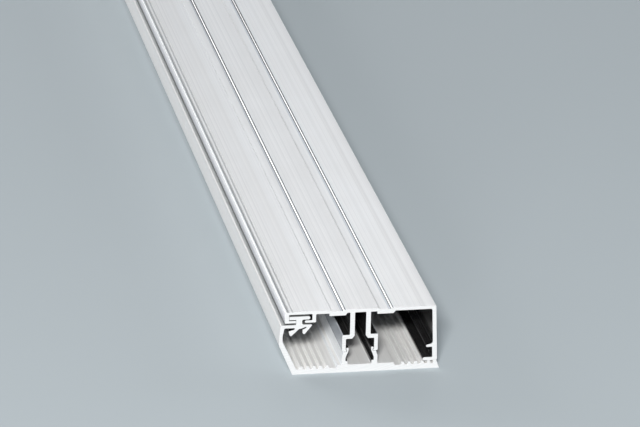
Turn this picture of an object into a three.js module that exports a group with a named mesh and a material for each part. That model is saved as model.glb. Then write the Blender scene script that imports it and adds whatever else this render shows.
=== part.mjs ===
/**
 * Two-part aluminium extrusion profile, closed by a T-slot at one side and a snap in the middle.
 *
 * Millimetres. X runs across the section, Y along the length, Z up. The origin is at the middle
 * of the flat underside. The section is drawn in X and Z and has the same shape along the length.
 *
 * upper_extrusion  top plate, T-slot pocket, two webs that end in the snap box, leaning side wall
 * lower_extrusion  ribbed floor, folded side wall, arm with the T-head, two snap legs
 */
import * as THREE from 'three';

// ---------------------------------------------------------------- overall sizes and clearances
const length = 1000;
const overallWidth = 80;
const overallHeight = 33;
const restGap = 0.05; // left where the two extrusions bear on each other
const snapGap = 0.15; // play of the snap noses

// ---------------------------------------------------------------- corner radii
const crisp = 0.1; // snap noses and seats
const fine = 0.2;
const edge = 0.3; // most corners
const fillet = 0.4;
const soft = 0.5;
const wide = 0.8;
const finFillet = 1.4;

// ---------------------------------------------------------------- upper extrusion: plate
const plateThickness = 1.7;
const plateCornerRadius = 0.9;
const bandWidth = 6.9; // shallow bands sunk into the face of the plate
const bandDepth = 0.6;
const bandEntrySlope = 0.5; // run of the band's left flank
const bandExitSlope = 1; // run of the band's right flank
const bandExitRound = 1.8; // radius at the foot and at the top of the right flank
const leftBandShare = 0.177; // of the bay's spare width, the part between the left band and the web
const rightBandOffset = 3.9; // from the web's outer face to the near edge of the right band
const bandBacking = 1.3; // the plate is this much deeper behind a band
const backingOverlap = 0.8; // the backing starts this far left of the band
const backingWidth = 9;
const backingFlank = 0.9; // run of the backing's sloping right flank
const sightGrooveDepth = 0.25; // two fine grooves beside the plate's left edge
const sightGrooves = [
  { from: 0.95, width: 1.35 },
  { from: 3.4, width: 1.05 },
];

// ---------------------------------------------------------------- upper extrusion: T-slot pocket
const pocketSetback = 2.6; // the pocket's outer face lies this far inside the overall width
const pocketOuterWall = 2.1;
const pocketInnerWall = 1.9;
const pocketWidth = 11.45;
const pocketDepth = 3.15; // ceiling to the top of the lips
const pocketCeiling = 1.5; // plate thickness over the pocket
const lipThickness = 1.3;
const leftLip = 3.4;
const stemPlay = 1.25; // between the stem and the right lip

// ---------------------------------------------------------------- upper extrusion: webs and snap box
const channelCentre = 0.1;
const channelWidth = 5.5;
const webThickness = 2.4;
const snapHeight = 10.8; // underside of the upper legs above the base
const snapBoxHeight = 8.85; // from the underside of the legs to the top of the shoulder
const snapBoxWidth = 14; // between the inner faces of the legs
const legThickness = 1.9;
const shoulderThickness = 2.15;
const channelChamfer = 1.2; // run of the chamfer from the channel into the snap box
const channelChamferRise = 1.6;
const snapNose = 0.4; // how far each nose stands out
const snapNoseHeight = 0.7;
const seatBevel = 0.4; // rise of the bevel outside each leg's end

// ---------------------------------------------------------------- upper extrusion: side wall
const wallSetback = 2.35; // top of the wall's outer face inside the overall width
const wallLean = 1.2; // the wall's foot lies this much further out than its top
const wallThickness = 2;
const wallFootThickness = 2.4; // below the fin
const finHeight = 11.25; // underside of the fin above the base
const finLength = 3;
const finTip = 1.15;
const finRoot = 1.9;
const footThickness = 1.8;
const footLength = 4.8;
const wallFootRadius = 0.9; // outer corner at the foot of the wall

// ---------------------------------------------------------------- lower extrusion: floor
const floorThickness = 2.55;
const padRise = 1.4; // the floor is this much thicker under and beside the snap legs
const padLeft = 2; // reach of the pad beyond the legs' outer faces
const padRight = 8.3;
const padFlank = 0.35;
const ribPitch = 3.25;
const ribHeight = 1.5;
const ribTop = 1.2;
const ribBase = 2;
const leftStrip = 3.8; // plain floor between the left ribs and the pad
const rightStrip = 3.2; // plain floor between the pad and the right ribs
const firstRib = 2.3; // from the folded wall's inner foot to the first rib's middle
const toeRun = 1.5; // the toe leans in by this much up to the end block
const endBlock = 2.9; // width of the end block, from the tip of the toe
const endBlockFlank = 0.4;
const lastRib = 5.3; // from the tip of the toe to the last rib's middle

// ---------------------------------------------------------------- lower extrusion: folded wall and arm
const underCut = 6.7; // the floor starts this far inside the overall width
const foldedWall = 1.6; // upright part
const slopingWall = 3.2; // sloping part, measured level
const bulgeDrop = 10.75; // arm's top face down to the lower bend
const bendSpan = 3.4; // between the two bends
const armGap = 0.9; // under the pocket's left lip
const armThickness = 1.65;
const armSetback = 0.6; // the wall leans in by this much at the arm
const armInnerSetback = 0.9; // the same on the inside
const innerUpperBend = 1.6; // the inner bends lie this far above their outer ones
const innerLowerBend = 2.2;
const lowerBendRadius = 2.5;
const upperBendRadius = 8;
const innerLowerRadius = 2;
const innerUpperRadius = 3;
const stemWidth = 3.05;
const headThickness = 1.75;
const headRightGap = 1; // free space beside the T-head
const headUnderGap = 0.4; // between the lips and the T-head
const stemFootRise = 0.1; // the stem's right fillet ends this far above the arm

// Wing and barbs: reaches go out from the nearer side of the stem, drops go down from the arm's top.
const wing = { reach: 5.3, drop: 0.1 };
const rightSlit = { reach: 2.1, mouth: 1.65, end: 1.15 };
const rightBarb = { reach: 1.15, drop: 5.2, heelReach: 0.2, heelDrop: 4.4, waistDrop: 2.6 };
const barbBridge = { drop: 2.15, right: 0.7, left: 1.6 }; // between the barbs, inside the stem's width
const leftBarb = { reach: 2.4, drop: 5.9, heelReach: 3.1, heelDrop: 5.3, backReach: 3.7, backDrop: 3.2 };
const leftSlit = { reach: 0.7, mouth: 2.35, endReach: 0.6 };
const slitRadius = 0.15;

// ---------------------------------------------------------------- lower extrusion: snap legs
const legFootRise = 1.95; // small foot inside each leg
const legFootInset = 1.1;
const legKneeDrop = 2.9; // below the seat, where the leg starts to lean towards the channel
const innerKneeDrop = 0.3; // the inner knee lies this far below the outer one
const snapHeadRise = 2.1; // top of the head above the seat
const snapHeadInset = 1.4; // head's inner face inside the upper leg's inner face
const snapHeadKneeRise = 0.4;
const snapSeatInset = 0.85; // the seat under the upper leg ends this far inside its outer face

const halfWidth = overallWidth / 2;
const arcStep = THREE.MathUtils.degToRad(12);

// ---------------------------------------------------------------- outlines

/** A corner of an outline, rounded to a radius. */
function corner(x, z, radius = 0) {
  return { x, z, radius };
}

/** Points that round one corner; the radius is limited by the two edges that meet there. */
function roundedCorner(before, here, after) {
  const at = new THREE.Vector2(here.x, here.z);
  const back = new THREE.Vector2(before.x, before.z).sub(at);
  const ahead = new THREE.Vector2(after.x, after.z).sub(at);
  const room = Math.min(back.length(), ahead.length()) / 2;
  back.normalize();
  ahead.normalize();
  const opening = Math.acos(THREE.MathUtils.clamp(back.dot(ahead), -1, 1));
  const turn = Math.PI - opening;
  const setback = Math.min(here.radius * Math.tan(turn / 2), room * 0.98);
  if (setback < 0.01) return [at];
  const radius = setback / Math.tan(turn / 2);
  const middle = back.clone().add(ahead).normalize();
  const centre = at.clone().addScaledVector(middle, radius / Math.sin(opening / 2));
  const start = at.clone().addScaledVector(back, setback).sub(centre);
  const clockwise = back.x * ahead.y - back.y * ahead.x > 0 ? -1 : 1;
  const steps = Math.max(2, Math.ceil(turn / arcStep));
  const points = [];
  for (let i = 0; i <= steps; i += 1) {
    const spoke = start.clone().rotateAround(new THREE.Vector2(), (clockwise * turn * i) / steps);
    points.push(centre.clone().add(spoke));
  }
  return points;
}

/** Closed outline through a list of corners. */
function outline(corners) {
  const last = corners.length - 1;
  const points = corners.flatMap((here, i) =>
    roundedCorner(corners[i === 0 ? last : i - 1], here, corners[i === last ? 0 : i + 1]));
  return new THREE.Shape(points);
}

/** Mirror corners about the channel's centre and run them the other way. */
function mirrored(corners) {
  return corners.map(({ x, z, radius }) => corner(2 * channelCentre - x, z, radius)).reverse();
}

/** Run an outline along the whole length. */
function extrude(shape) {
  const geometry = new THREE.ExtrudeGeometry(shape, { depth: length, bevelEnabled: false, steps: 1 });
  geometry.rotateX(Math.PI / 2);
  geometry.translate(0, length / 2, 0);
  return geometry;
}

// ---------------------------------------------------------------- shared places
const plateUnderside = overallHeight - plateThickness;
const webOuter = channelCentre + channelWidth / 2 + webThickness;
const channelSide = channelCentre + channelWidth / 2;
const legInner = channelCentre + snapBoxWidth / 2;
const legOuter = legInner + legThickness;
const shoulderTop = snapHeight + snapBoxHeight;

const pocketLeftFace = -halfWidth + pocketSetback;
const pocketLeft = pocketLeftFace + pocketOuterWall;
const pocketRight = pocketLeft + pocketWidth;
const ceiling = overallHeight - pocketCeiling;
const lipTop = ceiling - pocketDepth;
const lipBottom = lipTop - lipThickness;
const leftLipEnd = pocketLeft + leftLip;
const stemLeft = leftLipEnd + restGap;
const stemRight = stemLeft + stemWidth;
const rightLipEnd = stemRight + stemPlay;
const pocketInnerFace = pocketRight + pocketInnerWall;
const armTop = lipBottom - armGap;
const armBottom = armTop - armThickness;
const lowerBend = armTop - bulgeDrop;
const upperBend = lowerBend + bendSpan;

const padTop = floorThickness + padRise;
const ribsTop = floorThickness + ribHeight;
const footBottom = ribsTop + restGap;

// ---------------------------------------------------------------- upper extrusion

/** A fine groove in the plate's face, from left to right. */
function sightGroove({ from, width }) {
  const x = pocketLeftFace + from;
  const flank = width / 4;
  return [
    corner(x, overallHeight),
    corner(x + flank, overallHeight - sightGrooveDepth),
    corner(x + width - flank, overallHeight - sightGrooveDepth),
    corner(x + width, overallHeight),
  ];
}

/** A shallow band sunk into the plate's face, from left to right. */
function faceBand(left) {
  const right = left + bandWidth;
  const sunk = overallHeight - bandDepth;
  return [
    corner(left, overallHeight, wide),
    corner(left + bandEntrySlope, sunk, soft),
    corner(right - bandExitSlope, sunk, bandExitRound),
    corner(right, overallHeight, bandExitRound),
  ];
}

/** The deeper plate behind a band, from right to left along the underside. */
function bandBackingCorners(left) {
  const start = left - backingOverlap;
  const right = start + backingWidth;
  const deep = plateUnderside - bandBacking;
  return [
    corner(right, plateUnderside, edge),
    corner(right - backingFlank, deep, edge),
    corner(start, deep, fine),
    corner(start, plateUnderside, fine),
  ];
}

/** Outer face of the side wall at a height. */
function wallFace(z) {
  const drop = (overallHeight - z) / (overallHeight - footBottom);
  return halfWidth - wallSetback + wallLean * drop;
}

/** Side wall with its fin and foot, from the plate's edge down and back up inside. */
function sideWall() {
  const footTop = footBottom + footThickness;
  const finTop = finHeight + finRoot;
  const finRootX = wallFace(finHeight) - wallFootThickness;
  const finEnd = finRootX - finLength;
  const footEnd = wallFace(footTop) - wallFootThickness - footLength;
  return [
    corner(wallFace(overallHeight), overallHeight, edge),
    corner(wallFace(footBottom), footBottom, wallFootRadius),
    corner(footEnd, footBottom, footThickness / 2),
    corner(footEnd, footTop, footThickness / 2),
    corner(wallFace(footTop) - wallFootThickness, footTop, fillet),
    corner(finRootX, finHeight, edge),
    corner(finEnd, finHeight, finTip / 2),
    corner(finEnd, finHeight + finTip, finTip / 2),
    corner(wallFace(finTop) - wallThickness, finTop, finFillet),
    corner(wallFace(plateUnderside) - wallThickness, plateUnderside, wide),
  ];
}

/** Right web, shoulder and leg of the snap box, from the plate down and back up in the channel. */
function webAndLeg() {
  const shoulderUnderside = shoulderTop - shoulderThickness;
  const noseTop = snapHeight + snapNoseHeight;
  return [
    corner(webOuter, plateUnderside, fillet),
    corner(webOuter, shoulderTop, soft),
    corner(legOuter, shoulderTop, soft),
    corner(legOuter, snapHeight + seatBevel, fine),
    corner(legOuter - snapSeatInset, snapHeight, crisp),
    corner(legInner - snapNose, snapHeight, crisp),
    corner(legInner - snapNose, noseTop, crisp),
    corner(legInner, noseTop + snapNose, crisp),
    corner(legInner, shoulderUnderside, fillet),
    corner(channelSide + channelChamfer, shoulderUnderside, fillet),
    corner(channelSide, shoulderUnderside + channelChamferRise, edge),
    corner(channelSide, plateUnderside, edge),
  ];
}

/** T-slot pocket, from its inner wall round the slot to the plate's left edge. */
function pocket() {
  return [
    corner(pocketInnerFace, plateUnderside, fillet),
    corner(pocketInnerFace, lipBottom, soft),
    corner(rightLipEnd, lipBottom, lipThickness / 2),
    corner(rightLipEnd, lipTop, lipThickness / 2),
    corner(pocketRight, lipTop, fine),
    corner(pocketRight, ceiling, fine),
    corner(pocketLeft, ceiling, fine),
    corner(pocketLeft, lipTop, fine),
    corner(leftLipEnd, lipTop, fine),
    corner(leftLipEnd, lipBottom, fine),
    corner(pocketLeftFace, lipBottom, edge),
    corner(pocketLeftFace, overallHeight, plateCornerRadius),
  ];
}

/** Left edge of the left band, placed in the bay between the pocket and the left web. */
function leftBandStart() {
  const leftWeb = 2 * channelCentre - webOuter;
  const spare = leftWeb - pocketInnerFace - backingWidth;
  return leftWeb - leftBandShare * spare - backingWidth + backingOverlap;
}

/** The whole upper extrusion. */
function upperExtrusion() {
  const leftBand = leftBandStart();
  const rightBand = webOuter + rightBandOffset;
  return extrude(outline([
    ...sightGrooves.flatMap(sightGroove),
    ...faceBand(leftBand),
    ...faceBand(rightBand),
    ...sideWall(),
    ...bandBackingCorners(rightBand),
    ...webAndLeg(),
    ...mirrored(webAndLeg()),
    ...bandBackingCorners(leftBand),
    ...pocket(),
  ]));
}

// ---------------------------------------------------------------- lower extrusion

/** One rib of the floor, from left to right. */
function rib(middle) {
  return [
    corner(middle - ribBase / 2, floorThickness, edge),
    corner(middle - ribTop / 2, ribsTop, fillet),
    corner(middle + ribTop / 2, ribsTop, fillet),
    corner(middle + ribBase / 2, floorThickness, edge),
  ];
}

/** Ribs at the pitch, as many as the strip of floor takes, from left to right. */
function ribRow(first, last) {
  const count = Math.round((last - first) / ribPitch) + 1;
  return Array.from({ length: count }, (_, i) => rib(first + i * ribPitch)).flat();
}

/** Folded wall: underside corner, lower and upper bend, and the arm's outer corner. */
function foldedWallOutside() {
  return [
    corner(-halfWidth + underCut, 0, fillet),
    corner(-halfWidth, lowerBend, lowerBendRadius),
    corner(-halfWidth, upperBend, upperBendRadius),
    corner(-halfWidth + armSetback, armTop, wide),
  ];
}

/** Inside of the folded wall, from the arm down to the floor. */
function foldedWallInside() {
  const upright = -halfWidth + foldedWall;
  return [
    corner(upright + armInnerSetback, armBottom, fillet),
    corner(upright, upperBend + innerUpperBend, innerUpperRadius),
    corner(upright, lowerBend + innerLowerBend, innerLowerRadius),
    corner(floorStart(), floorThickness, soft),
  ];
}

/** Where the folded wall's inner face meets the floor. */
function floorStart() {
  return -halfWidth + underCut * (1 - floorThickness / lowerBend) + slopingWall;
}

/** T-head on its stem, from the arm's top face round to the wing's root. */
function headAndStem() {
  const headBottom = lipTop + headUnderGap;
  const headTop = headBottom + headThickness;
  const headLeft = pocketLeft + restGap;
  const headRight = pocketRight - headRightGap;
  return [
    corner(stemLeft, armTop, fine),
    corner(stemLeft, headBottom, fine),
    corner(headLeft, headBottom, edge),
    corner(headLeft, headTop, edge),
    corner(headRight, headTop, headThickness / 2),
    corner(headRight, headBottom, headThickness / 2),
    corner(stemRight, headBottom, wide),
    corner(stemRight, armTop + stemFootRise, wide),
  ];
}

/** The wing and the two barbs under the arm, from the wing's tip back to the left. */
function wingAndBarbs() {
  return [
    corner(stemRight + wing.reach, armTop - wing.drop, fillet),
    corner(stemRight + rightBarb.reach, armTop - rightBarb.drop, soft),
    corner(stemRight + rightBarb.heelReach, armTop - rightBarb.heelDrop, edge),
    corner(stemRight + rightBarb.heelReach, armTop - rightBarb.waistDrop, fine),
    corner(stemRight + rightSlit.reach, armTop - rightSlit.mouth, slitRadius),
    corner(stemRight + rightSlit.reach, armTop - rightSlit.end, slitRadius),
    corner(stemRight - barbBridge.right, armTop - barbBridge.drop, edge),
    corner(stemLeft + barbBridge.left, armTop - barbBridge.drop, soft),
    corner(stemLeft - leftBarb.reach, armTop - leftBarb.drop, soft),
    corner(stemLeft - leftBarb.heelReach, armTop - leftBarb.heelDrop, edge),
    corner(stemLeft - leftBarb.backReach, armTop - leftBarb.backDrop, edge),
    corner(stemLeft - leftSlit.reach, armTop - leftSlit.mouth, slitRadius),
    corner(stemLeft - leftSlit.endReach, armBottom, slitRadius),
  ];
}

/** Right snap leg, from its inner foot up over the head and down its outer face. */
function snapLeg() {
  const footTop = padTop + legFootRise;
  const knee = snapHeight - legKneeDrop;
  const headTop = snapHeight + snapHeadRise;
  const headKnee = snapHeight + snapHeadKneeRise;
  const tongue = legInner - snapNose - snapGap;
  const catchBottom = snapHeight + snapNoseHeight + snapGap;
  const seat = snapHeight - restGap;
  return [
    corner(legInner - legFootInset, padTop, edge),
    corner(legInner - legFootInset, footTop, fillet),
    corner(legInner, footTop, fine),
    corner(legInner, knee - innerKneeDrop, wide),
    corner(legInner - snapHeadInset, headKnee, wide),
    corner(legInner - snapHeadInset, headTop, edge),
    corner(tongue, headTop, crisp),
    corner(legInner - snapGap, headTop - snapNose, crisp),
    corner(legInner - snapGap, catchBottom + snapNose, crisp),
    corner(tongue, catchBottom, crisp),
    corner(tongue, seat, crisp),
    corner(legOuter - snapSeatInset, seat, fine),
    corner(legOuter, knee, wide),
    corner(legOuter, padTop, edge),
  ];
}

/** Floor from the folded wall to the toe. */
function floorTop() {
  const first = floorStart() + firstRib;
  const padStart = 2 * channelCentre - legOuter - padLeft;
  const padEnd = legOuter + padRight;
  const toe = halfWidth;
  const last = toe - lastRib;
  return [
    ...ribRow(first, padStart - leftStrip - ribBase / 2),
    corner(padStart - padFlank, floorThickness, edge),
    corner(padStart, padTop, edge),
    ...mirrored(snapLeg()),
    ...snapLeg(),
    corner(padEnd, padTop, edge),
    corner(padEnd + padFlank, floorThickness, edge),
    ...ribRow(last - ribPitch * Math.floor((last - padEnd - rightStrip) / ribPitch), last),
    corner(toe - endBlock - endBlockFlank, floorThickness, edge),
    corner(toe - endBlock, ribsTop, fine),
    corner(toe - toeRun, ribsTop, edge),
    corner(toe, 0, fine),
  ];
}

/** The whole lower extrusion. */
function lowerExtrusion() {
  return extrude(outline([
    ...foldedWallOutside(),
    ...headAndStem(),
    ...wingAndBarbs(),
    ...foldedWallInside(),
    ...floorTop(),
  ]));
}

// ---------------------------------------------------------------- assembly

/** A named piece with its own mill-finish aluminium. */
function piece(name, geometry, color) {
  const material = new THREE.MeshStandardMaterial({ color, roughness: 0.35, metalness: 1 });
  const mesh = new THREE.Mesh(geometry, material);
  mesh.name = name;
  return mesh;
}

const profile = new THREE.Group();
profile.add(piece('upper_extrusion', upperExtrusion(), 0xdfe2e4));
profile.add(piece('lower_extrusion', lowerExtrusion(), 0xd9dcde));

export default profile;
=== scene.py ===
"""Two interlocking aluminium extrusions in mill finish, lying on a pale studio floor.

Metres, +Z up. X runs across the section, Y along the length. Each extrusion is drawn again from
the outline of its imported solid, with the fine lines that a die leaves along the length, and with
saw-cut ends.
"""

import logging
import math
import random
from dataclasses import dataclass, field
from enum import Enum

import bmesh
import bpy
from mathutils import Matrix, Vector


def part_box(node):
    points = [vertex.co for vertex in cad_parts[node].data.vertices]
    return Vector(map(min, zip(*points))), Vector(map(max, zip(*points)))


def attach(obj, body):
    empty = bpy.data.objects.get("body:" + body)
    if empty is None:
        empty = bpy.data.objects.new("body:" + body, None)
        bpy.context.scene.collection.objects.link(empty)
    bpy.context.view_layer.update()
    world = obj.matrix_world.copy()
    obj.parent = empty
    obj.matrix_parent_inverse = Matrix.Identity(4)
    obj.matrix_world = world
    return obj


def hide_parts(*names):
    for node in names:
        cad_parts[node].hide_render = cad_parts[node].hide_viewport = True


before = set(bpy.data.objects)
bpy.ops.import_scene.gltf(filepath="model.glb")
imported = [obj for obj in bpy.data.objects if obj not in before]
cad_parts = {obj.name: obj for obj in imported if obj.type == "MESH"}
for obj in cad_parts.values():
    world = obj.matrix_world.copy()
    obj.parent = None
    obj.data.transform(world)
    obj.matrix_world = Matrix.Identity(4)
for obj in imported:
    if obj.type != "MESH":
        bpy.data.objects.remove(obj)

Point = tuple[float, float]
Place = tuple[float, float, float]
Colour = tuple[float, float, float]
Span = tuple[float, float]
Edge = tuple[Point, Point]

MM = 0.001
IMAGE_WIDTH = 640  # in pixels
UNIT: Span = (0.0, 1.0)
WHITE: Colour = (1.0, 1.0, 1.0)
DIGITS = 7  # decimals to which points are rounded, so that they can be matched
FLAT = 1e-6  # a corner that is this near to the front plane lies in it
CLEAR = 0.005 * MM  # a line out of a face starts this far from it
PARALLEL = 1e-12  # directions whose cross product is below this never meet

log = logging.getLogger("extrusion_profile")


# ------------------------------------------------------------------------------ node helpers


def opaque(colour: Colour) -> tuple[float, float, float, float]:
    """Adds full opacity to a colour."""
    return (*colour, 1.0)


class Nodes:
    """Short way to add and join the nodes of one tree."""

    MIX_INPUTS = (0, 6, 7)  # a colour mix's factor, first colour and second colour
    MIX_OUTPUT = 2

    def __init__(self, tree: bpy.types.NodeTree) -> None:
        """Keeps the tree that the nodes go into."""
        self.tree = tree

    def add(
        self, kind: str, inputs: dict[str | int, object] | None = None, **settings: object
    ) -> bpy.types.Node:
        """Adds a node.

        Args:
            kind: The node's type, such as ShaderNodeTexNoise.
            inputs: Values or sockets for its inputs, by name or by index.
            settings: Values for the node's own properties.

        Returns:
            The new node.
        """
        node = self.tree.nodes.new(kind)
        for name, value in settings.items():
            setattr(node, name, value)
        for name, value in (inputs or {}).items():
            self.feed(node.inputs[name], value)
        return node

    def feed(self, socket: bpy.types.NodeSocket, value: object) -> None:
        """Joins a socket to an input, or sets the input's own value.

        Args:
            socket: The input.
            value: Another node's output, or a plain value.
        """
        if isinstance(value, bpy.types.NodeSocket):
            self.tree.links.new(value, socket)
        else:
            socket.default_value = value

    def maths(self, operation: str, first: object, second: object = 0.0) -> bpy.types.NodeSocket:
        """Adds one sum and returns its result."""
        return self.add("ShaderNodeMath", {0: first, 1: second}, operation=operation).outputs[0]

    def ramp(self, value: object, source: Span, target: Span = UNIT) -> bpy.types.NodeSocket:
        """Maps a value from one span to another, without leaving the second.

        Args:
            value: The value or socket to map.
            source: Where the span begins and ends.
            target: What its ends become.

        Returns:
            The mapped value.
        """
        limits = {"Value": value, "From Min": source[0], "From Max": source[1]}
        limits |= {"To Min": target[0], "To Max": target[1]}
        return self.add("ShaderNodeMapRange", limits).outputs["Result"]

    def mix(self, factor: object, first: object, second: object) -> bpy.types.NodeSocket:
        """Mixes two colours.

        Args:
            factor: Share of the second colour.
            first: The first colour or socket.
            second: The second colour or socket.

        Returns:
            The mixed colour.
        """
        inputs = dict(zip(self.MIX_INPUTS, (factor, first, second)))
        return self.add("ShaderNodeMix", inputs, data_type="RGBA").outputs[self.MIX_OUTPUT]

    def noise(
        self, place: bpy.types.NodeSocket, scale: float = 1.0, **inputs: float
    ) -> bpy.types.NodeSocket:
        """Adds noise and returns its value."""
        settings = {"Vector": place, "Scale": scale} | inputs
        return self.add("ShaderNodeTexNoise", settings).outputs["Fac"]

    def place(self) -> bpy.types.NodeSocket:
        """Place on the piece, in metres."""
        return self.add("ShaderNodeTexCoord").outputs["Object"]


def new_group(
    name: str, inputs: dict[str, float], outputs: tuple[str, ...]
) -> tuple[Nodes, bpy.types.Node, bpy.types.Node]:
    """Starts a shader node group.

    Args:
        name: The group's name.
        inputs: Its float inputs with their defaults.
        outputs: Names of its float outputs.

    Returns:
        The node helper of the group, its input node and its output node.
    """
    tree = bpy.data.node_groups.new(name, "ShaderNodeTree")
    for label, default in inputs.items():
        socket = tree.interface.new_socket(label, in_out="INPUT", socket_type="NodeSocketFloat")
        socket.default_value = default
    for label in outputs:
        tree.interface.new_socket(label, in_out="OUTPUT", socket_type="NodeSocketFloat")
    nodes = Nodes(tree)
    return nodes, nodes.add("NodeGroupInput"), nodes.add("NodeGroupOutput")


def new_material(name: str) -> tuple[bpy.types.Material, Nodes, bpy.types.Node]:
    """Makes an empty node material.

    Args:
        name: The material's name.

    Returns:
        The material, the helper for its nodes, and its Principled BSDF.
    """
    material = bpy.data.materials.new(name)
    material.use_nodes = True
    shader = material.node_tree.nodes["Principled BSDF"]
    return material, Nodes(material.node_tree), shader


# ------------------------------------------------------------------------------ shared effects


@dataclass(frozen=True)
class DieLines:
    """Lines along the length, as a die leaves them: fine, coarse, broad and a few strong ones."""

    fine_per_metre: float = 2300.0
    coarse_per_metre: float = 620.0
    broad_per_metre: float = 150.0
    drift_per_metre: float = 0.09
    fine_detail: float = 1.5
    coarse_detail: float = 2.5
    broad_detail: float = 1.5
    noise_roughness: float = 0.62
    fine_share: float = 0.45
    coarse_share: float = 0.55
    strong_span: Span = (0.58, 0.68)
    strong_depth: float = 0.25
    tone_span: Span = (0.38, 0.58)
    broad_span: Span = (0.30, 0.70)

    def build(self) -> bpy.types.ShaderNodeTree:
        """Makes the group with outputs Height, Tone, Broad and Strong.

        Returns:
            The node group.
        """
        nodes, _, end = new_group("die_lines", {}, ("Height", "Tone", "Broad", "Strong"))
        place = nodes.place()
        fine = self._streaks(nodes, place, self.fine_per_metre, self.fine_detail)
        coarse = self._streaks(nodes, place, self.coarse_per_metre, self.coarse_detail)
        broad = self._streaks(nodes, place, self.broad_per_metre, self.broad_detail)
        strong = nodes.ramp(coarse, self.strong_span)
        blended = nodes.maths(
            "ADD",
            nodes.maths("MULTIPLY", fine, self.fine_share),
            nodes.maths("MULTIPLY", coarse, self.coarse_share),
        )
        sunk = nodes.maths("MULTIPLY", strong, self.strong_depth)
        nodes.feed(end.inputs["Height"], nodes.maths("SUBTRACT", blended, sunk))
        nodes.feed(end.inputs["Tone"], nodes.ramp(blended, self.tone_span))
        nodes.feed(end.inputs["Broad"], nodes.ramp(broad, self.broad_span))
        nodes.feed(end.inputs["Strong"], strong)
        return nodes.tree

    def _streaks(
        self, nodes: Nodes, place: bpy.types.NodeSocket, across: float, detail: float
    ) -> bpy.types.NodeSocket:
        """Stretches noise along Y, so that it shows as lines.

        Args:
            nodes: The group's node helper.
            place: Place on the piece.
            across: Lines per metre.
            detail: The noise's detail.

        Returns:
            The noise.
        """
        scale = (across, self.drift_per_metre, across)
        stretched = nodes.add("ShaderNodeMapping", {"Vector": place, "Scale": scale})
        settings = {"Detail": detail, "Roughness": self.noise_roughness}
        return nodes.noise(stretched.outputs["Vector"], **settings)


@dataclass(frozen=True)
class Handling:
    """Soft cloudy patches and fine specks from handling and storage."""

    patch_per_metre: float = 22.0
    patch_detail: float = 5.0
    patch_roughness: float = 0.55
    patch_span: Span = (0.38, 0.66)
    speck_per_metre: float = 900.0
    speck_span: Span = (0.70, 0.78)

    def build(self) -> bpy.types.ShaderNodeTree:
        """Makes the group with input Amount and outputs Patches and Specks.

        Returns:
            The node group.
        """
        nodes, start, end = new_group("handling", {"Amount": 1.0}, ("Patches", "Specks"))
        place = nodes.place()
        cloudy = {"Detail": self.patch_detail, "Roughness": self.patch_roughness}
        patches = nodes.ramp(nodes.noise(place, self.patch_per_metre, **cloudy), self.patch_span)
        specks = nodes.ramp(nodes.noise(place, self.speck_per_metre), self.speck_span)
        for label, marks in (("Patches", patches), ("Specks", specks)):
            nodes.feed(end.inputs[label], nodes.maths("MULTIPLY", marks, start.outputs["Amount"]))
        return nodes.tree


class Effects:
    """The node groups that several finishes use, each built once."""

    def __init__(self) -> None:
        """Builds both groups."""
        self.die_lines = DieLines().build()
        self.handling = Handling().build()

    def lines(self, nodes: Nodes) -> bpy.types.NodeOutputs:
        """Places the die lines in a material."""
        return nodes.add("ShaderNodeGroup", node_tree=self.die_lines).outputs

    def marks(self, nodes: Nodes, amount: float = 1.0) -> bpy.types.NodeOutputs:
        """Places the marks of handling in a material.

        Args:
            nodes: The material's node helper.
            amount: How strong the marks are, up to 1.

        Returns:
            The group's outputs.
        """
        node = nodes.add("ShaderNodeGroup", node_tree=self.handling)
        node.inputs["Amount"].default_value = amount
        return node.outputs


# ------------------------------------------------------------------------------ finishes


@dataclass(frozen=True)
class PaintedShade:
    """Painted shade: a darker colour at the low end of a face, which fades upward."""

    colour: Colour
    low: float  # height up to which it is full
    high: float  # height from which none of it is left

    def blend(self, nodes: Nodes, above: bpy.types.NodeSocket) -> bpy.types.NodeSocket:
        """Blends the colour into the one above it.

        Args:
            nodes: The material's node helper.
            above: The colour above.

        Returns:
            The mixed colour.
        """
        height = nodes.add("ShaderNodeSeparateXYZ", {"Vector": nodes.place()}).outputs["Z"]
        return nodes.mix(nodes.ramp(height, (self.low, self.high)), opaque(self.colour), above)


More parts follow.
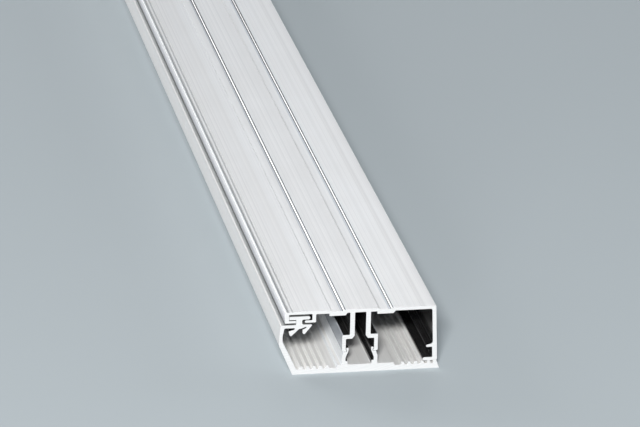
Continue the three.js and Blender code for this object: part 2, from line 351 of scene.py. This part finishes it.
@dataclass(frozen=True)
class MillFinish:
    """Bare aluminium as it leaves the die: metal under a thin dull skin."""

    name: str
    light: Colour = (0.84, 0.83, 0.82)
    dark: Colour = (0.72, 0.715, 0.715)
    strong: Colour = (0.67, 0.67, 0.67)
    cool: Colour = (0.77, 0.79, 0.81)
    tint: float = 0.24  # the most that a broad streak takes from the cool colour
    smooth: float = 0.285
    rough: float = 0.39
    metallic: float = 0.5
    glancing: float = 1.0  # how much of its brightness the metal keeps at a glancing angle; below 1 it paints shade
    bump_height: float = 0.00005
    bump_strength: float = 0.85
    cool_span: Span = (0.0, 0.6)  # over this span of the broad streaks the cool colour fades
    shade_span: Span = (0.5, 1.0)  # and over this one the dark colour comes in
    shade_share: float = 0.22
    strong_share: float = 0.55
    patch_share: float = 0.15
    patch_roughness: float = 0.03
    painted_shade: PaintedShade | None = None

    def build(self, effects: Effects) -> bpy.types.Material:
        """Makes the material.

        Args:
            effects: The shared node groups.

        Returns:
            The material.
        """
        material, nodes, shader = new_material(self.name)
        lines = effects.lines(nodes)
        patches = effects.marks(nodes)["Patches"]
        colour = self._colour(nodes, lines, patches)
        roughness = nodes.ramp(lines["Tone"], UNIT, (self.rough, self.smooth))
        worn = nodes.maths("MULTIPLY", patches, self.patch_roughness)
        bump = {"Distance": self.bump_height, "Strength": self.bump_strength}
        relief = nodes.add("ShaderNodeBump", {"Height": lines["Height"]} | bump)
        nodes.feed(shader.inputs["Base Color"], colour)
        nodes.feed(shader.inputs["Roughness"], nodes.maths("ADD", roughness, worn))
        nodes.feed(shader.inputs["Normal"], relief.outputs["Normal"])
        shader.inputs["Metallic"].default_value = self.metallic
        shader.inputs["Specular Tint"].default_value = opaque((self.glancing,) * 3)
        return material

    def _colour(
        self, nodes: Nodes, lines: bpy.types.NodeOutputs, patches: bpy.types.NodeSocket
    ) -> bpy.types.NodeSocket:
        """Mixes the colours of the lines, the wear and any painted shade.

        Args:
            nodes: The material's node helper.
            lines: Outputs of the die lines.
            patches: Patches from handling.

        Returns:
            The colour.
        """
        dark = opaque(self.dark)
        cool_share = nodes.ramp(lines["Broad"], self.cool_span, (self.tint, 0.0))
        dark_share = nodes.ramp(lines["Broad"], self.shade_span, (0.0, self.shade_share))
        strong_share = nodes.maths("MULTIPLY", lines["Strong"], self.strong_share)
        patch_share = nodes.maths("MULTIPLY", patches, self.patch_share)
        colour = nodes.mix(lines["Tone"], dark, opaque(self.light))
        colour = nodes.mix(cool_share, colour, opaque(self.cool))
        colour = nodes.mix(dark_share, colour, dark)
        colour = nodes.mix(strong_share, colour, opaque(self.strong))
        colour = nodes.mix(patch_share, colour, dark)
        return self.painted_shade.blend(nodes, colour) if self.painted_shade else colour


@dataclass(frozen=True)
class SawnEnd:
    """Fresh saw cut: bright, frosted, with the shallow arcs that a large blade leaves."""

    name: str = "sawn_end"
    light: Colour = (0.60, 0.605, 0.61)
    dark: Colour = (0.49, 0.50, 0.505)
    blade_centre: Point = (-0.05, 0.22)
    arcs_per_metre: float = 2400.0
    arc_detail: float = 3.0
    tone_span: Span = (0.35, 0.62)
    speck_amount: float = 0.8
    speck_share: float = 0.3
    polish_span: Span = (0.3, 0.7)
    rough: float = 0.52
    smooth: float = 0.40
    metallic: float = 0.25
    bump_height: float = 0.00003
    bump_strength: float = 0.6

    def build(self, effects: Effects) -> bpy.types.Material:
        """Makes the material.

        Args:
            effects: The shared node groups.

        Returns:
            The material.
        """
        material, nodes, shader = new_material(self.name)
        arcs = self._arcs(nodes)
        specks = effects.marks(nodes, self.speck_amount)["Specks"]
        speck_share = nodes.maths("MULTIPLY", specks, self.speck_share)
        cut = nodes.mix(nodes.ramp(arcs, self.tone_span), opaque(self.dark), opaque(self.light))
        roughness = nodes.ramp(arcs, self.polish_span, (self.rough, self.smooth))
        bump = {"Distance": self.bump_height, "Strength": self.bump_strength}
        relief = nodes.add("ShaderNodeBump", {"Height": arcs} | bump)
        nodes.feed(shader.inputs["Base Color"], nodes.mix(speck_share, cut, opaque(self.dark)))
        nodes.feed(shader.inputs["Roughness"], roughness)
        nodes.feed(shader.inputs["Normal"], relief.outputs["Normal"])
        shader.inputs["Metallic"].default_value = self.metallic
        return material

    def _arcs(self, nodes: Nodes) -> bpy.types.NodeSocket:
        """Makes noise that depends only on the distance from the blade's centre.

        Args:
            nodes: The material's node helper.

        Returns:
            The noise.
        """
        parts = nodes.add("ShaderNodeSeparateXYZ", {"Vector": nodes.place()}).outputs
        squares = []
        for axis, centre in zip("XZ", self.blade_centre):
            off = nodes.maths("SUBTRACT", parts[axis], centre)
            squares.append(nodes.maths("MULTIPLY", off, off))
        distance = nodes.maths("SQRT", nodes.maths("ADD", *squares))
        reach = nodes.maths("MULTIPLY", distance, self.arcs_per_metre)
        lookup = nodes.add("ShaderNodeCombineXYZ", {"X": reach}).outputs[0]
        return nodes.noise(lookup, Detail=self.arc_detail)


@dataclass(frozen=True)
class FloorPaint:
    """Smooth pale floor with a faint mottle."""

    name: str = "pale_floor"
    colour: Colour = (0.43, 0.48, 0.51)
    mottled: Colour = (0.415, 0.465, 0.495)
    mottle_per_metre: float = 3.0
    mottle_detail: float = 3.0
    roughness: float = 0.8

    def build(self) -> bpy.types.Material:
        """Makes the material.

        Returns:
            The material.
        """
        material, nodes, shader = new_material(self.name)
        mottle = nodes.noise(nodes.place(), self.mottle_per_metre, Detail=self.mottle_detail)
        colour = nodes.mix(mottle, opaque(self.colour), opaque(self.mottled))
        nodes.feed(shader.inputs["Base Color"], colour)
        shader.inputs["Roughness"].default_value = self.roughness
        return material


class Face(Enum):
    """The kinds of surface on an extrusion, by material index."""

    SAWN = 0  # the two ends
    OPEN = 1  # looks straight out, with no metal in front of it
    FLOOR = 2  # floor of the chambers, with its ribs
    INSIDE = 3  # any other face that looks at metal; its finish paints shade there
    EDGE = 4  # open faces that look up and to the left, such as the bands' right flanks
    LEG = 5  # outer sides of the snap legs; their bluish finishes are painted reflection, with painted shade on the upper legs and painted light on the lower
    GROOVE = 6  # fine grooves in the plate
    PAD = 7  # raised floor between the snap legs and just right of them; its greyer finish is painted shade
    RIB = 8  # left flanks and left top edges of the ribs in the left chamber; their lighter finish is a painted highlight
    WALL = 9  # inner side of the folded wall
    POCKET = 10  # outer side of the pocket that the hook sits in; painted shade darkens it toward its foot
    LEDGE = 11  # upper side of the arm under the pocket; its darker finish is painted shade
    CORNER = 12  # rounded edge over the pocket, with a painted highlight, or of the folded wall, with painted shade
    FOOT = 13  # strip of a band's floor beside its right flank; its darker finish is painted shade


FINISHES: dict[Face, MillFinish | SawnEnd] = {
    Face.SAWN: SawnEnd(),
    Face.OPEN: MillFinish("mill_open"),
    Face.FLOOR: MillFinish(
        "mill_chamber_floor",
        light=(0.80, 0.80, 0.79), dark=(0.71, 0.71, 0.70), strong=(0.62, 0.62, 0.61),
        metallic=0.05,
    ),
    # Painted shade: a darker, mirror-like copy of the metal, with its glancing reflections dimmed,
    # so that faces looking at metal read near black.
    Face.INSIDE: MillFinish(
        "mill_inside_painted_shade",
        light=(0.60, 0.595, 0.60), dark=(0.44, 0.44, 0.445), strong=(0.34, 0.34, 0.345),
        cool=(0.50, 0.51, 0.54),
        smooth=0.14, rough=0.22, metallic=0.985, glancing=0.36, bump_height=0.00001,
    ),
    Face.EDGE: MillFinish(
        "mill_edge", smooth=0.09, rough=0.13, metallic=1.0, bump_height=0.00001,
    ),
    # Painted highlight: a lighter, half-dull copy of the metal, so that the rounded edge over the
    # pocket shows a bright line.
    Face.CORNER: MillFinish(
        "mill_corner_painted_highlight",
        light=(0.98, 0.98, 0.98), dark=(0.95, 0.95, 0.95), strong=(0.91, 0.91, 0.91),
        cool=(0.95, 0.955, 0.96),
        smooth=0.22, rough=0.28, metallic=0.55, bump_height=0.00001,
    ),
    # Painted reflection and shade: a darker, blue-grey copy of the metal on the outer sides of the
    # upper snap legs.
    Face.LEG: MillFinish(
        "mill_leg_painted_reflection",
        light=(0.52, 0.56, 0.61), dark=(0.46, 0.495, 0.55), strong=(0.38, 0.41, 0.46),
        smooth=0.16, rough=0.24, metallic=0.2,
    ),
    Face.WALL: MillFinish(
        "mill_wall",
        light=(0.90, 0.90, 0.895), dark=(0.82, 0.82, 0.815), strong=(0.74, 0.74, 0.74),
        metallic=0.15,
    ),
    # A lighter, dull finish, with painted shade that darkens the pocket's outer side toward its
    # foot, beside the gap.
    Face.POCKET: MillFinish(
        "mill_pocket_painted_shade",
        light=(0.93, 0.92, 0.955), dark=(0.88, 0.87, 0.905), strong=(0.83, 0.82, 0.855),
        metallic=0.0, painted_shade=PaintedShade((0.34, 0.35, 0.37), low=27.4 * MM, high=31.4 * MM),
    ),
    # Painted shade: a darker copy of the metal on the arm's upper side, in the gap under the
    # pocket.
    Face.LEDGE: MillFinish(
        "mill_ledge_painted_shade",
        light=(0.62, 0.64, 0.64), dark=(0.54, 0.56, 0.56), strong=(0.46, 0.48, 0.48),
        metallic=0.8,
    ),
    # Painted shade: a greyer copy of the chamber floor between the snap legs and just right of
    # them.
    Face.PAD: MillFinish(
        "mill_pad_painted_shade",
        light=(0.72, 0.725, 0.72), dark=(0.65, 0.655, 0.65), strong=(0.57, 0.575, 0.57),
        metallic=0.05,
    ),
    # Painted highlight: a lighter, dull copy of the floor on the ribs' left flanks and left top
    # edges, so that they stay bright in the chamber's shade.
    Face.RIB: MillFinish(
        "mill_rib_painted_highlight",
        light=(0.90, 0.90, 0.89), dark=(0.85, 0.85, 0.84), strong=(0.80, 0.80, 0.79),
        metallic=0.0,
    ),
    # Painted shade: a darker, bluish copy of the metal on the strip of each band's floor beside
    # its right flank.
    Face.FOOT: MillFinish(
        "mill_foot_painted_shade",
        light=(0.60, 0.615, 0.65), dark=(0.53, 0.545, 0.575), strong=(0.48, 0.49, 0.52),
        cool=(0.56, 0.59, 0.63),
    ),
    Face.GROOVE: MillFinish(
        "mill_groove",
        light=(0.43, 0.435, 0.44), dark=(0.31, 0.315, 0.32),
        smooth=0.34, rough=0.44,
    ),
}

# Where the lower extrusion is finished otherwise.
LOWER_FINISHES: dict[Face, MillFinish | SawnEnd] = {
    Face.OPEN: MillFinish(
        "mill_dull",
        light=(0.83, 0.82, 0.81), dark=(0.77, 0.76, 0.75), strong=(0.71, 0.70, 0.69),
        metallic=0.15,
    ),
    # Painted shade: a darker copy of the dull metal on the top of the folded wall, beside the gap
    # under the pocket.
    Face.CORNER: MillFinish(
        "mill_fold_painted_shade",
        light=(0.62, 0.61, 0.60), dark=(0.57, 0.56, 0.55), strong=(0.52, 0.51, 0.50),
        metallic=0.15,
    ),
    # Painted reflection and light: a pale bluish copy of the dull metal on the outer sides of the
    # lower snap legs.
    Face.LEG: MillFinish(
        "mill_dull_leg_painted_reflection",
        light=(0.92, 0.945, 0.97), dark=(0.84, 0.87, 0.91), strong=(0.76, 0.79, 0.83),
        metallic=0.15,
    ),
}


def build_finishes(
    finishes: dict[Face, MillFinish | SawnEnd], effects: Effects
) -> dict[Face, bpy.types.Material]:
    """Makes the material of each finish."""
    return {face: finish.build(effects) for face, finish in finishes.items()}


# ------------------------------------------------------------------------------ the extrusions


@dataclass
class Section:
    """Outline of an extrusion's section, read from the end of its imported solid."""

    node: str
    points: list[Point] = field(default_factory=list)

    def read(self) -> None:
        """Reads the outline from the front end of the solid, anticlockwise in X and Z."""
        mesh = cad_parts[self.node].data
        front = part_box(self.node)[0].y
        places = [vertex.co for vertex in mesh.vertices]
        seen: dict[Edge, int] = {}
        for polygon in mesh.polygons:
            corners = [places[i] for i in polygon.vertices]
            if any(abs(corner.y - front) > FLAT for corner in corners):
                continue
            flat = [(round(corner.x, DIGITS), round(corner.z, DIGITS)) for corner in corners]
            for pair in zip(flat, flat[1:] + flat[:1]):
                key = tuple(sorted(pair))
                seen[key] = seen.get(key, 0) + 1
        self.points = self._walk([pair for pair, count in seen.items() if count == 1])
        if self._area(self.points) < 0:
            self.points.reverse()

    def edges(self) -> list[Edge]:
        """Stretches of the outline, in order."""
        return list(zip(self.points, self.points[1:] + self.points[:1]))

    @staticmethod
    def _walk(edges: list[Edge]) -> list[Point]:
        """Puts the border's edges in order round the outline.

        Args:
            edges: The edges, in any order and direction.

        Returns:
            The outline's points, in order.
        """
        neighbours: dict[Point, list[Point]] = {}
        for first, second in edges:
            neighbours.setdefault(first, []).append(second)
            neighbours.setdefault(second, []).append(first)
        start = edges[0][0]
        walked = [start]
        before, here = start, neighbours[start][0]
        while here != start:
            walked.append(here)
            one, other = neighbours[here]
            before, here = here, other if one == before else one
        return walked

    @staticmethod
    def _area(points: list[Point]) -> float:
        """Signed area of an outline."""
        return sum(a[0] * b[1] - b[0] * a[1] for a, b in zip(points, points[1:] + points[:1])) / 2


def looks_at_metal(start: Point, end: Point, metal: list[Edge]) -> bool:
    """Tells whether a straight line out of a face, square to it, meets metal.

    Args:
        start: Where the face starts on its anticlockwise outline.
        end: Where it ends.
        metal: Stretches of all the outlines.

    Returns:
        True if it meets any of them.
    """
    out = Vector((end[1] - start[1], start[0] - end[0])).normalized()
    origin = Vector(((start[0] + end[0]) / 2, (start[1] + end[1]) / 2)) + out * CLEAR
    for first, second in metal:
        run = Vector((second[0] - first[0], second[1] - first[1]))
        across = out.x * run.y - out.y * run.x
        if abs(across) < PARALLEL:
            continue
        gap = Vector(first) - origin
        ahead = (gap.x * run.y - gap.y * run.x) / across
        share = (gap.x * out.y - gap.y * out.x) / across
        if ahead > 0.0 and 0.0 <= share <= 1.0:
            return True
    return False


@dataclass
class DieRelief:
    """Shallow lines cut into the flat stretches of an outline, always into the metal."""

    seed: int
    spacing: float = 0.30 * MM
    shallow: float = 0.006 * MM
    deep: float = 0.035 * MM
    deep_chance: float = 0.07
    least_deep: float = 0.4  # share of the full depth
    margin: float = 0.45 * MM

    def cut(self, edges: list[Edge], kinds: list[Face]) -> tuple[list[Point], list[Face]]:
        """Adds the lines to each flat stretch that is long enough.

        Args:
            edges: Stretches of an anticlockwise outline.
            kinds: Kind of surface that each one makes.

        Returns:
            The outline with the added points, and the kind of surface after each point.
        """
        dice = random.Random(self.seed)
        cut: list[Point] = []
        cut_kinds: list[Face] = []
        for ((ax, az), (bx, bz)), kind in zip(edges, kinds):
            cut.append((ax, az))
            cut_kinds.append(kind)
            length = math.hypot(bx - ax, bz - az)
            room = length - 2 * self.margin
            if room < 2 * self.spacing:
                continue
            inward = (-(bz - az) / length, (bx - ax) / length)
            count = int(room / self.spacing)
            for i in range(count + 1):
                share = (self.margin + room * i / count) / length
                depth = self._depth(dice) if 0 < i < count else 0.0
                x = ax + (bx - ax) * share + inward[0] * depth
                z = az + (bz - az) * share + inward[1] * depth
                cut.append((x, z))
                cut_kinds.append(kind)
        return cut, cut_kinds

    def _depth(self, dice: random.Random) -> float:
        """Draws the depth of one line.

        Args:
            dice: The seeded source of draws.

        Returns:
            The depth.
        """
        if dice.random() < self.deep_chance:
            return dice.uniform(self.least_deep, 1.0) * self.deep
        return dice.random() * self.shallow


@dataclass
class Extrusion:
    """One extrusion, drawn along Y from its outline, with a small bevel round each sawn end.

    The sizes that tell the kinds of surface apart are 0, or out of reach, where an extrusion has
    no such surface.
    """

    node: str
    piece: str
    seed: int
    bevel: float = 0.04 * MM
    sharp_angle: float = math.radians(26)
    floor_top: float = 0.0  # the chambers' floor and its ribs lie below this
    flank_share: float = 0.15  # the least rise of a rib's flank
    pad_left: float = -7.0 * MM  # painted shade makes the floor greyer between these
    pad_right: float = 24.9 * MM
    tilt_share: float = 0.10  # a face that is this far off square leans
    flank_tilt: float = 0.05  # the same for a flank that faces left
    edge_floor: float = 27.0 * MM  # flanks, grooves and rounded edges below this aren't told apart
    plate_top: float = 33.0 * MM
    groove_depth: float = 0.02 * MM  # a groove reaches farther down than this
    band_depth: float = 0.5 * MM  # a band's floor lies farther down than this
    groove_left: float = -36.6 * MM  # the grooves lie between these
    groove_right: float = -32.5 * MM
    leg_top: float = 0.0  # the snap legs end below this
    leg_near: float = 7.5 * MM  # their outer sides are farther than this from the middle
    leg_reach: float = 0.0  # and nearer than this
    wall_top: float = 0.0  # the folded wall's inner side ends below this
    wall_right: float = -31.0 * MM  # and lies left of this
    ledge_floor: float = 40.0 * MM  # the arm's upper side lies above this

    def build(
        self, sections: dict[str, Section], finishes: dict[Face, bpy.types.Material]
    ) -> bpy.types.Object:
        """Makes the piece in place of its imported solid.

        Args:
            sections: The section of every extrusion, by node.
            finishes: The finish of each kind of surface.

        Returns:
            The new object.
        """
        metal = [edge for section in sections.values() for edge in section.edges()]
        edges = sections[self.node].edges()
        kinds = [self._kind(start, end, metal) for start, end in edges]
        outline, kinds = DieRelief(self.seed).cut(edges, kinds)
        mesh = self._mesh(outline, self._with_painted_shade_feet(outline, kinds))
        for face in Face:
            mesh.materials.append(finishes[face])
        piece = bpy.data.objects.new(self.piece, mesh)
        bpy.context.scene.collection.objects.link(piece)
        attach(piece, "root")
        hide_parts(self.node)
        return piece

    def _mesh(self, outline: list[Point], kinds: list[Face]) -> bpy.types.Mesh:
        """Runs the outline along the length and closes both ends.

        Args:
            outline: The outline's points.
            kinds: Kind of surface after each point.

        Returns:
            The mesh.
        """
        low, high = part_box(self.node)
        inner = self._inset(outline)
        body = bmesh.new()
        rings = [
            self._ring(body, inner, low.y),
            self._ring(body, outline, low.y + self.bevel),
            self._ring(body, outline, high.y - self.bevel),
            self._ring(body, inner, high.y),
        ]
        count = len(outline)
        for near, far in zip(rings, rings[1:]):
            for i in range(count):
                j = (i + 1) % count
                side = body.faces.new((near[i], near[j], far[j], far[i]))
                side.material_index = kinds[i].value
        for ring in (rings[0][::-1], rings[-1]):
            body.faces.new(ring).material_index = Face.SAWN.value
        bmesh.ops.recalc_face_normals(body, faces=body.faces)
        ends = [face for face in body.faces if len(face.verts) > 4]
        bmesh.ops.triangulate(body, faces=ends, ngon_method="EAR_CLIP")
        for face in body.faces:
            face.smooth = True
        mesh = bpy.data.meshes.new(self.piece)
        body.to_mesh(mesh)
        body.free()
        mesh.set_sharp_from_angle(angle=self.sharp_angle)
        return mesh

    def _kind(self, start: Point, end: Point, metal: list[Edge]) -> Face:
        """Tells which kind of surface one stretch of an anticlockwise outline makes.

        Args:
            start: Where the stretch starts.
            end: Where it ends.
            metal: Stretches of all the outlines.

        Returns:
            The kind of surface.
        """
        length = math.hypot(end[0] - start[0], end[1] - start[1])
        # These two are the outward normal: how far it points up, and how far to the right.
        rise, aside = (start[0] - end[0]) / length, (end[1] - start[1]) / length
        if not looks_at_metal(start, end, metal):
            return self._open_kind(start, end, rise, aside)
        top, bottom = max(start[1], end[1]), min(start[1], end[1])
        outward = start[0] * aside > 0.0
        if outward and top < self.leg_top and self.leg_near < abs(start[0]) < self.leg_reach:
            return Face.LEG
        if top < self.floor_top and rise > self.flank_share:
            middle = (start[0] + end[0]) / 2
            if self.pad_left < middle < self.pad_right:
                return Face.PAD
            return Face.RIB if aside < -self.tilt_share and middle < self.pad_left else Face.FLOOR
        if top < self.wall_top and start[0] < self.wall_right and aside > 0.0:
            return Face.WALL
        if bottom > self.ledge_floor and rise > self.tilt_share:
            return Face.LEDGE
        return Face.INSIDE

    def _open_kind(self, start: Point, end: Point, rise: float, aside: float) -> Face:
        """Tells the grooves, edges and flat stretches of the open side apart.

        Args:
            start: Where the stretch starts.
            end: Where it ends.
            rise: How far its outward normal points up.
            aside: How far it points to the right.

        Returns:
            The kind of surface.
        """
        if max(start[1], end[1]) < self.edge_floor:
            return Face.OPEN
        middle = (start[0] + end[0]) / 2
        sunk = min(start[1], end[1]) < self.plate_top - self.groove_depth
        if self.groove_left < middle < self.groove_right and sunk:
            return Face.GROOVE
        if middle < self.groove_left:
            upright = aside < -self.tilt_share and abs(rise) < self.tilt_share
            return Face.POCKET if upright else Face.CORNER
        return Face.EDGE if rise > self.tilt_share and aside < -self.flank_tilt else Face.OPEN

    def _with_painted_shade_feet(self, outline: list[Point], kinds: list[Face]) -> list[Face]:
        """Marks the first two stretches of a band's floor beside its right flank, for their
        painted shade.

        Args:
            outline: The outline's points.
            kinds: Kind of surface after each point.

        Returns:
            The kinds, with those stretches marked.
        """
        marked = list(kinds)
        for i, kind in enumerate(kinds):
            sunk = outline[i][1] < self.plate_top - self.band_depth
            if kind is Face.OPEN and sunk and Face.EDGE in (kinds[i - 1], kinds[i - 2]):
                marked[i] = Face.FOOT
        return marked

    def _inset(self, outline: list[Point]) -> list[Point]:
        """Moves each point of an outline into the metal by the bevel.

        Args:
            outline: The outline's points.

        Returns:
            The moved points.
        """
        moved = []
        for i, (x, z) in enumerate(outline):
            before, after = Vector(outline[i - 1]), Vector(outline[(i + 1) % len(outline)])
            run = (after - before).normalized()
            moved.append((x - run.y * self.bevel, z + run.x * self.bevel))
        return moved

    @staticmethod
    def _ring(body: bmesh.types.BMesh, outline: list[Point], y: float) -> list[bmesh.types.BMVert]:
        """Adds one ring of vertices."""
        return [body.verts.new((x, y, z)) for x, z in outline]


@dataclass
class UpperExtrusion(Extrusion):
    """Top plate with its bands, pocket, webs and side wall."""

    node: str = "upper_extrusion"
    piece: str = "upper_profile"
    seed: int = 11
    leg_top: float = 20.2 * MM
    leg_reach: float = 16.0 * MM


@dataclass
class LowerExtrusion(Extrusion):
    """Ribbed floor with its folded wall, arm, hook and snap legs."""

    node: str = "lower_extrusion"
    piece: str = "lower_profile"
    seed: int = 23
    floor_top: float = 4.3 * MM
    leg_top: float = 10.8 * MM
    leg_reach: float = 16.0 * MM
    wall_top: float = 24.3 * MM
    ledge_floor: float = 25.0 * MM
    edge_floor: float = 25.5 * MM


# ------------------------------------------------------------------------------ studio


def place_round(centre: Place, elevation: float, azimuth: float, distance: float) -> Place:
    """Finds a place at a distance from a point.

    Args:
        centre: The point.
        elevation: Degrees above the level.
        azimuth: Degrees from -Y towards +X.
        distance: How far away the place is.

    Returns:
        The place.
    """
    rise, turn = math.radians(elevation), math.radians(azimuth)
    level = distance * math.cos(rise)
    return (
        centre[0] + level * math.sin(turn),
        centre[1] - level * math.cos(turn),
        centre[2] + distance * math.sin(rise),
    )


@dataclass(frozen=True)
class Lamp:
    """Rectangular soft lamp."""

    name: str
    place: Place
    target: Place
    size: tuple[float, float]  # width and height
    watts: float
    tint: Colour = WHITE

    def hang(self) -> None:
        """Adds the lamp to the scene."""
        data = bpy.data.lights.new(self.name, "AREA")
        data.shape = "RECTANGLE"
        data.size, data.size_y = self.size
        data.energy = self.watts
        data.color = self.tint
        lamp = bpy.data.objects.new(self.name, data)
        lamp.location = self.place
        aim = Vector(self.target) - Vector(self.place)
        lamp.rotation_euler = aim.to_track_quat("-Z", "Y").to_euler()
        bpy.context.scene.collection.objects.link(lamp)


FRONT_END: Place = (0.0, -0.5, 0.0)
NEAR_MIDDLE: Place = (0.0, -0.2, 0.0)

LAMPS = (
    Lamp(
        "front_softbox", place_round(FRONT_END, elevation=30.0, azimuth=-15.0, distance=3.6),
        FRONT_END, size=(0.72, 0.30), watts=176.0, tint=(1.0, 0.985, 0.965),
    ),
    Lamp("low_softbox", (-2.05, -6.14, 0.38), FRONT_END, size=(1.2, 0.4), watts=150.0),
    # These two give the plate its change of tone along the length.
    Lamp(
        "back_softbox", (1.00, 3.5, 1.57), NEAR_MIDDLE,
        size=(1.25, 1.1), watts=4.1, tint=(0.82, 0.90, 1.0),
    ),
    Lamp(
        "high_softbox", (0.75, 3.5, 2.80), NEAR_MIDDLE,
        size=(1.3, 1.0), watts=8.6, tint=(1.0, 0.96, 0.92),
    ),
    # The bands' right flanks mirror this one.
    Lamp("back_strip", (-0.85, 3.48, 1.30), NEAR_MIDDLE, size=(0.55, 1.6), watts=5.2),
    Lamp(
        "left_softbox", (-1.6, 1.7, 0.8), (0.0, 0.1, 0.0),
        size=(1.2, 0.9), watts=20.0, tint=(1.0, 0.98, 0.975),
    ),
    # The rounded edge over the pocket mirrors the first, and the bands' left flanks the second.
    Lamp("corner_softbox", (-1.45, 3.4, 0.70), NEAR_MIDDLE, size=(0.7, 0.7), watts=1.7),
    Lamp("flank_softbox", (1.40, 3.4, 0.34), NEAR_MIDDLE, size=(0.8, 0.6), watts=3.0),
    Lamp("right_softbox", (4.2, 0.8, 1.6), (0.0, 0.0, 0.0), size=(2.2, 1.6), watts=24.0),
)


@dataclass
class Studio:
    """Pale floor, soft lamps, pale surroundings and the camera."""

    floor_size: float = 40.0
    surround: Colour = (0.76, 0.82, 0.87)
    surround_strength: float = 0.26
    lamps: tuple[Lamp, ...] = LAMPS
    camera_place: Place = (-0.3991, -2.5203, 0.8549)
    camera_azimuth: float = 10.594  # in degrees, as are the next two
    camera_elevation: float = 20.568
    camera_roll: float = 1.284
    focal_pixels: float = 4548.3
    sensor: float = 36.0  # in millimetres

    def build(self) -> None:
        """Builds everything round the object."""
        self._floor()
        self._surround()
        for lamp in self.lamps:
            lamp.hang()
        self._camera()
        bpy.context.scene.view_settings.view_transform = "Standard"

    def _floor(self) -> None:
        """Adds the floor that the profile lies on."""
        half = self.floor_size / 2
        mesh = bpy.data.meshes.new("floor")
        corners = [(-half, -half, 0.0), (half, -half, 0.0), (half, half, 0.0), (-half, half, 0.0)]
        mesh.from_pydata(corners, [], [(0, 1, 2, 3)])
        mesh.materials.append(FloorPaint().build())
        floor = bpy.data.objects.new("floor", mesh)
        bpy.context.scene.collection.objects.link(floor)

    def _surround(self) -> None:
        """Lights the world evenly."""
        world = bpy.data.worlds.new("surround")
        world.use_nodes = True
        background = world.node_tree.nodes["Background"]
        background.inputs["Color"].default_value = opaque(self.surround)
        background.inputs["Strength"].default_value = self.surround_strength
        bpy.context.scene.world = world

    def _camera(self) -> None:
        """Adds the camera and makes it the scene's own."""
        azimuth, elevation = math.radians(self.camera_azimuth), math.radians(self.camera_elevation)
        level = Vector((math.cos(azimuth), -math.sin(azimuth), 0.0))
        forward = Vector((
            math.sin(azimuth) * math.cos(elevation),
            math.cos(azimuth) * math.cos(elevation),
            -math.sin(elevation),
        ))
        upright = level.cross(forward)
        roll = math.radians(self.camera_roll)
        right = level * math.cos(roll) + upright * math.sin(roll)
        up = right.cross(forward)
        turn = Matrix((right, up, -forward)).transposed().to_4x4()
        data = bpy.data.cameras.new("camera")
        data.sensor_width = self.sensor
        data.sensor_fit = "HORIZONTAL"
        data.lens = self.focal_pixels * self.sensor / IMAGE_WIDTH
        camera = bpy.data.objects.new("camera", data)
        camera.matrix_world = Matrix.Translation(self.camera_place) @ turn
        bpy.context.scene.collection.objects.link(camera)
        bpy.context.scene.camera = camera


# ------------------------------------------------------------------------------ main


def main() -> None:
    """Builds the profile, dresses it and sets the studio round it."""
    logging.basicConfig(level=logging.INFO)
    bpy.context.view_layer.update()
    effects = Effects()
    finishes = build_finishes(FINISHES, effects)
    lower_finishes = finishes | build_finishes(LOWER_FINISHES, effects)
    upper, lower = UpperExtrusion(), LowerExtrusion()
    sections = {extrusion.node: Section(extrusion.node) for extrusion in (upper, lower)}
    for section in sections.values():
        section.read()
    for extrusion, dress in ((upper, finishes), (lower, lower_finishes)):
        piece = extrusion.build(sections, dress)
        log.info("%s: %d faces", piece.name, len(piece.data.polygons))
    Studio().build()


if __name__ == "__main__":
    main()
